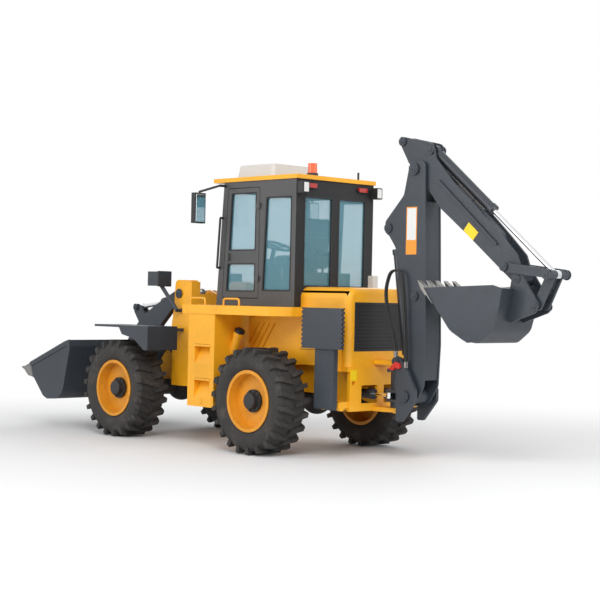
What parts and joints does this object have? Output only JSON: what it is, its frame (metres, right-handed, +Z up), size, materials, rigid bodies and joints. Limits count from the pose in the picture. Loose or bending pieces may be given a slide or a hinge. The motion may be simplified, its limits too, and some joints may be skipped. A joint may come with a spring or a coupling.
{
  "type": "backhoe loader",
  "caption": "Articulated backhoe loader with a glazed cab, front loader bucket on lift arms, rear hoe on a swing post and folding stabilisers.",
  "frame": {"origin": "the point on the ground under the middle of the rear axle", "axes": "+X forwards, +Y to the left, +Z up"},
  "size_m": [7.5384, 2.15, 3.3741],
  "materials": {
    "yellow_paint": "satin",
    "cab_paint": "satin",
    "grey_paint": "satin",
    "cylinder_paint": "gloss",
    "chrome_rod": "polished",
    "tyre_rubber": "matte",
    "cast_metal": "matte",
    "window_glass": "gloss",
    "black_plastic": "matte",
    "seat_vinyl": "satin"
  },
  "bodies": {
    "rear_unit": {"rear_frame": "yellow_paint", "side_platforms": "yellow_paint", "cab_shell": "cab_paint", "cab_roof": "yellow_paint", "cab_glass": "window_glass", "cab_interior": "black_plastic", "seat": "seat_vinyl", "engine_hood": "yellow_paint", "rear_grille": "black_plastic", "drivetrain": "cast_metal", "rear_axle": "cast_metal", "cab_fittings": "black_plastic", "swing_barrels": "cylinder_paint"},
    "front_unit": {"front_frame": "yellow_paint", "front_axle": "cast_metal", "front_fenders": "grey_paint"},
    "rear_left_wheel": {"rear_left_tyre": "tyre_rubber", "rear_left_rim": "yellow_paint"},
    "rear_right_wheel": {"rear_right_tyre": "tyre_rubber", "rear_right_rim": "yellow_paint"},
    "front_left_wheel": {"front_left_tyre": "tyre_rubber", "front_left_rim": "yellow_paint"},
    "front_right_wheel": {"front_right_tyre": "tyre_rubber", "front_right_rim": "yellow_paint"},
    "loader_arms": {"loader_arm": "grey_paint"},
    "bell_crank": {"bell_crank": "grey_paint"},
    "tilt_link": {"tilt_link": "grey_paint"},
    "loader_bucket": {"loader_bucket": "grey_paint"},
    "lift_barrels": {"lift_barrels": "cylinder_paint"},
    "lift_rods": {"lift_rods": "chrome_rod"},
    "tilt_barrel": {"tilt_barrel": "cylinder_paint"},
    "tilt_rod": {"tilt_rod": "chrome_rod"},
    "left_steer_barrel": {"left_steer_barrel": "cylinder_paint"},
    "left_steer_rod": {"left_steer_rod": "chrome_rod"},
    "right_steer_barrel": {"right_steer_barrel": "cylinder_paint"},
    "right_steer_rod": {"right_steer_rod": "chrome_rod"},
    "swing_post": {"swing_post": "grey_paint"},
    "boom": {"boom": "grey_paint"},
    "stick": {"stick": "grey_paint"},
    "hoe_bucket": {"hoe_bucket": "grey_paint"},
    "dump_lever": {"dump_lever": "grey_paint"},
    "bucket_link": {"bucket_link": "grey_paint"},
    "boom_barrel": {"boom_barrel": "cylinder_paint"},
    "boom_rod": {"boom_rod": "chrome_rod"},
    "stick_barrel": {"stick_barrel": "cylinder_paint"},
    "stick_rod": {"stick_rod": "chrome_rod"},
    "bucket_barrel": {"bucket_barrel": "cylinder_paint"},
    "bucket_rod": {"bucket_rod": "chrome_rod"},
    "left_swing_rod": {"left_swing_rod": "chrome_rod"},
    "right_swing_rod": {"right_swing_rod": "chrome_rod"},
    "left_door": {"left_door": "cab_paint"},
    "right_door": {"right_door": "cab_paint"},
    "left_stabiliser_leg": {"left_stabiliser_leg": "grey_paint"},
    "left_stabiliser_pad": {"left_stabiliser_pad": "grey_paint"},
    "left_leg_barrel": {"left_leg_barrel": "cylinder_paint"},
    "left_leg_rod": {"left_leg_rod": "chrome_rod"},
    "right_stabiliser_leg": {"right_stabiliser_leg": "grey_paint"},
    "right_stabiliser_pad": {"right_stabiliser_pad": "grey_paint"},
    "right_leg_barrel": {"right_leg_barrel": "cylinder_paint"},
    "right_leg_rod": {"right_leg_rod": "chrome_rod"}
  },
  "joints": [
    {"name": "articulation", "type": "hinge", "parent": "rear_unit", "child": "front_unit", "pos_m": [1.195, 0, 0.8], "axis": [0, 0, 1], "range_deg": [-35, 35]},
    {"name": "rear_left_wheel_spin", "type": "hinge", "parent": "rear_unit", "child": "rear_left_wheel", "pos_m": [0, 0.86, 0.571], "axis": [0, 1, 0], "continuous": true},
    {"name": "rear_right_wheel_spin", "type": "hinge", "parent": "rear_unit", "child": "rear_right_wheel", "pos_m": [0, -0.86, 0.571], "axis": [0, 1, 0], "continuous": true},
    {"name": "front_left_wheel_spin", "type": "hinge", "parent": "front_unit", "child": "front_left_wheel", "pos_m": [2.375, 0.86, 0.571], "axis": [0, 1, 0], "continuous": true},
    {"name": "front_right_wheel_spin", "type": "hinge", "parent": "front_unit", "child": "front_right_wheel", "pos_m": [2.375, -0.86, 0.571], "axis": [0, 1, 0], "continuous": true},
    {"name": "loader_lift", "type": "hinge", "parent": "front_unit", "child": "loader_arms", "pos_m": [1.85, 0, 1.7], "axis": [0, -1, 0], "range_deg": [-11, 85]},
    {"name": "loader_tilt", "type": "hinge", "parent": "loader_arms", "child": "loader_bucket", "pos_m": [3.3, 0, 0.51], "axis": [0, 1, 0], "range_deg": [0, 110]},
    {"name": "crank_turn", "type": "hinge", "parent": "loader_arms", "child": "bell_crank", "pos_m": [2.975, 0, 1.19], "axis": [0, 1, 0], "range_deg": [-62.4, 0]},
    {"name": "tilt_link_turn", "type": "hinge", "parent": "loader_bucket", "child": "tilt_link", "pos_m": [3.19, 0, 0.712], "axis": [0, 1, 0], "range_deg": [-98, 0]},
    {"name": "lift_barrel_turn", "type": "hinge", "parent": "front_unit", "child": "lift_barrels", "pos_m": [1.46, 0, 0.65], "axis": [0, -1, 0], "range_deg": [-4.3, 32.5]},
    {"name": "lift_rod_slide", "type": "slide", "parent": "lift_barrels", "child": "lift_rods", "axis": [0.891, 0, 0.4541], "range_m": [-0.099, 0.752]},
    {"name": "tilt_barrel_turn", "type": "hinge", "parent": "front_unit", "child": "tilt_barrel", "pos_m": [1.85, 0, 1.7], "axis": [0, -1, 0], "range_deg": [-11.1, 85.1]},
    {"name": "tilt_rod_slide", "type": "slide", "parent": "tilt_barrel", "child": "tilt_rod", "axis": [0.9916, 0, -0.1296], "range_m": [-0.443, 0]},
    {"name": "left_steer_barrel_turn", "type": "hinge", "parent": "rear_unit", "child": "left_steer_barrel", "pos_m": [0.7, 0.425, 0.8], "axis": [0, 0, 1], "range_deg": [-3.5, 3.5]},
    {"name": "left_steer_rod_slide", "type": "slide", "parent": "left_steer_barrel", "child": "left_steer_rod", "axis": [0.971, -0.239, 0], "range_m": [-0.174, 0.174]},
    {"name": "right_steer_barrel_turn", "type": "hinge", "parent": "rear_unit", "child": "right_steer_barrel", "pos_m": [0.7, -0.425, 0.8], "axis": [0, 0, 1], "range_deg": [-3.5, 3.5]},
    {"name": "right_steer_rod_slide", "type": "slide", "parent": "right_steer_barrel", "child": "right_steer_rod", "axis": [0.971, 0.239, 0], "range_m": [-0.174, 0.174]},
    {"name": "hoe_swing", "type": "hinge", "parent": "rear_unit", "child": "swing_post", "pos_m": [-1.2, 0, 0.77], "axis": [0, 0, 1], "range_deg": [-85, 85]},
    {"name": "left_swing_rod_slide", "type": "slide", "parent": "rear_unit", "child": "left_swing_rod", "axis": [-1, 0, 0], "range_m": [-0.121, 0.121]},
    {"name": "right_swing_rod_slide", "type": "slide", "parent": "rear_unit", "child": "right_swing_rod", "axis": [-1, 0, 0], "range_m": [-0.121, 0.121]},
    {"name": "boom_swing", "type": "hinge", "parent": "swing_post", "child": "boom", "pos_m": [-1.47, 0, 0.69], "axis": [0, -1, 0], "range_deg": [0, 115]},
    {"name": "boom_barrel_turn", "type": "hinge", "parent": "swing_post", "child": "boom_barrel", "pos_m": [-1.34, 0, 1.04], "axis": [0, -1, 0], "range_deg": [0, 123.2]},
    {"name": "boom_rod_slide", "type": "slide", "parent": "boom_barrel", "child": "boom_rod", "axis": [0.1425, 0, 0.9898], "range_m": [0, 0.651]},
    {"name": "stick_swing", "type": "hinge", "parent": "boom", "child": "stick", "pos_m": [-1.485, 0, 3.03], "axis": [0, 1, 0], "range_deg": [0, 100]},
    {"name": "stick_barrel_turn", "type": "hinge", "parent": "boom", "child": "stick_barrel", "pos_m": [-1.524, 0, 1.722], "axis": [0, 1, 0], "range_deg": [0, 7.2]},
    {"name": "stick_rod_slide", "type": "slide", "parent": "stick_barrel", "child": "stick_rod", "axis": [0.1472, 0, 0.9891], "range_m": [-0.522, 0]},
    {"name": "hoe_bucket_curl", "type": "hinge", "parent": "stick", "child": "hoe_bucket", "pos_m": [-2.813, 0, 1.908], "axis": [0, 1, 0], "range_deg": [0, 150]},
    {"name": "dump_lever_turn", "type": "hinge", "parent": "stick", "child": "dump_lever", "pos_m": [-2.68, 0, 2.023], "axis": [0, 1, 0], "range_deg": [0, 113.1]},
    {"name": "bucket_link_turn", "type": "hinge", "parent": "dump_lever", "child": "bucket_link", "pos_m": [-3.2, 0, 1.95], "axis": [0, 1, 0], "range_deg": [-47.4, 0]},
    {"name": "bucket_barrel_turn", "type": "hinge", "parent": "stick", "child": "bucket_barrel", "pos_m": [-1.665, 0, 3.219], "axis": [0, 1, 0], "range_deg": [0, 6.2]},
    {"name": "bucket_rod_slide", "type": "slide", "parent": "bucket_barrel", "child": "bucket_rod", "axis": [-0.7707, 0, -0.6372], "range_m": [-0.871, 0]},
    {"name": "left_leg_swing", "type": "hinge", "parent": "rear_unit", "child": "left_stabiliser_leg", "pos_m": [-0.805, 0.57, 0.56], "axis": [-1, 0, 0], "range_deg": [0, 120]},
    {"name": "left_pad_swivel", "type": "hinge", "parent": "left_stabiliser_leg", "child": "left_stabiliser_pad", "pos_m": [-0.805, 0.67, 1.4], "axis": [1, 0, 0], "range_deg": [0, 30]},
    {"name": "left_leg_barrel_turn", "type": "hinge", "parent": "rear_unit", "child": "left_leg_barrel", "pos_m": [-0.805, 0.55, 1.28], "axis": [-1, 0, 0], "range_deg": [-12.1, 0]},
    {"name": "left_leg_rod_slide", "type": "slide", "parent": "left_leg_barrel", "child": "left_leg_rod", "axis": [0, 0.0957, -0.9954], "range_m": [0, 0.337]},
    {"name": "left_door_swing", "type": "hinge", "parent": "rear_unit", "child": "left_door", "pos_m": [0.345, 0.6163, 2.2], "axis": [0, 0, 1], "range_deg": [0, 100]},
    {"name": "right_leg_swing", "type": "hinge", "parent": "rear_unit", "child": "right_stabiliser_leg", "pos_m": [-0.805, -0.57, 0.56], "axis": [1, 0, 0], "range_deg": [0, 120]},
    {"name": "right_pad_swivel", "type": "hinge", "parent": "right_stabiliser_leg", "child": "right_stabiliser_pad", "pos_m": [-0.805, -0.67, 1.4], "axis": [-1, 0, 0], "range_deg": [0, 30]},
    {"name": "right_leg_barrel_turn", "type": "hinge", "parent": "rear_unit", "child": "right_leg_barrel", "pos_m": [-0.805, -0.55, 1.28], "axis": [1, 0, 0], "range_deg": [-12.1, 0]},
    {"name": "right_leg_rod_slide", "type": "slide", "parent": "right_leg_barrel", "child": "right_leg_rod", "axis": [0, -0.0957, -0.9954], "range_m": [0, 0.337]},
    {"name": "right_door_swing", "type": "hinge", "parent": "rear_unit", "child": "right_door", "pos_m": [0.345, -0.6163, 2.2], "axis": [0, 0, -1], "range_deg": [0, 100]}
  ],
  "couplings": [
    {"joint": "crank_turn", "follows": "loader_tilt", "ratio": -0.566},
    {"joint": "tilt_link_turn", "follows": "loader_tilt", "ratio": -0.89},
    {"joint": "tilt_rod_slide", "follows": "loader_tilt", "m_per_rad": -0.2299},
    {"joint": "lift_barrel_turn", "follows": "loader_lift", "ratio": 0.38},
    {"joint": "lift_rod_slide", "follows": "loader_lift", "m_per_rad": 0.5056},
    {"joint": "tilt_barrel_turn", "follows": "loader_lift", "ratio": 1},
    {"joint": "left_steer_barrel_turn", "follows": "articulation", "ratio": 0.097},
    {"joint": "left_steer_rod_slide", "follows": "articulation", "m_per_rad": -0.282},
    {"joint": "right_steer_barrel_turn", "follows": "articulation", "ratio": 0.097},
    {"joint": "right_steer_rod_slide", "follows": "articulation", "m_per_rad": 0.282},
    {"joint": "left_swing_rod_slide", "follows": "hoe_swing", "m_per_rad": 0.0806},
    {"joint": "right_swing_rod_slide", "follows": "hoe_swing", "m_per_rad": -0.0806},
    {"joint": "boom_barrel_turn", "follows": "boom_swing", "ratio": 1.07},
    {"joint": "boom_rod_slide", "follows": "boom_swing", "m_per_rad": 0.3235},
    {"joint": "stick_barrel_turn", "follows": "stick_swing", "ratio": 0.07},
    {"joint": "stick_rod_slide", "follows": "stick_swing", "m_per_rad": -0.298},
    {"joint": "dump_lever_turn", "follows": "hoe_bucket_curl", "ratio": 0.753},
    {"joint": "bucket_link_turn", "follows": "hoe_bucket_curl", "ratio": -0.315},
    {"joint": "bucket_barrel_turn", "follows": "hoe_bucket_curl", "ratio": 0.04},
    {"joint": "bucket_rod_slide", "follows": "hoe_bucket_curl", "m_per_rad": -0.332},
    {"joint": "left_leg_barrel_turn", "follows": "left_leg_swing", "ratio": -0.1},
    {"joint": "left_leg_rod_slide", "follows": "left_leg_swing", "m_per_rad": 0.16},
    {"joint": "right_leg_barrel_turn", "follows": "right_leg_swing", "ratio": -0.1},
    {"joint": "right_leg_rod_slide", "follows": "right_leg_swing", "m_per_rad": 0.16}
  ]
}
